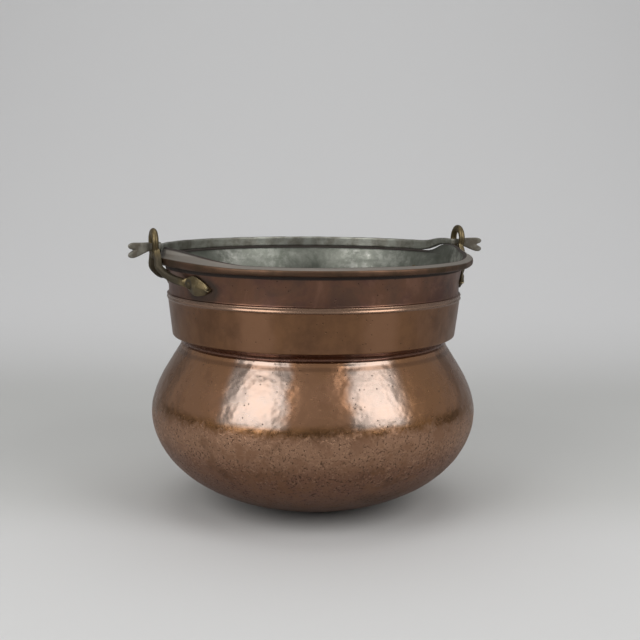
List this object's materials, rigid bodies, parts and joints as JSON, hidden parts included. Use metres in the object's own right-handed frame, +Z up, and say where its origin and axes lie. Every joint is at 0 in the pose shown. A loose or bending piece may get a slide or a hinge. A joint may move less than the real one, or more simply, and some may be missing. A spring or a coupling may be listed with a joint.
{
  "type": "cauldron",
  "caption": "Hammered copper cauldron with a round belly, stepped collar and rolled lip, riveted brass ring ears and a forged bail that swings over the mouth.",
  "frame": {"origin": "middle of the flattened spot under the bowl, on the surface that the cauldron stands on", "axes": "+Z up along the vessel's axis, +X through the ears, +Y towards the side of the lip that the bail is laid on"},
  "size_m": [0.3696, 0.318, 0.272],
  "materials": {
    "body_copper": "hammered and burnished copper, tinned grey inside",
    "bowl_copper": "pitted, fire-worn copper, tinned grey inside",
    "ear_brass": "aged cast brass, polished on its edges",
    "rivet_copper": "hammered rivet heads",
    "bail_iron": "forged bar, dull grey with worn edges",
    "wire_iron": "dark iron wire"
  },
  "bodies": {
    "vessel": {"upper_body": "body_copper", "base_bowl": "bowl_copper", "rim_wire": "wire_iron", "ear_left": "ear_brass", "ear_right": "ear_brass", "rivet_left_front": "rivet_copper", "rivet_left_back": "rivet_copper", "rivet_right_front": "rivet_copper", "rivet_right_back": "rivet_copper"},
    "bail": {"bail": "bail_iron"}
  },
  "joints": [
    {"name": "bail_swing", "type": "hinge", "parent": "vessel", "child": "bail", "pos_m": [0, 0, 0.2547], "axis": [1, 0, 0], "range_deg": [0, 181]}
  ]
}
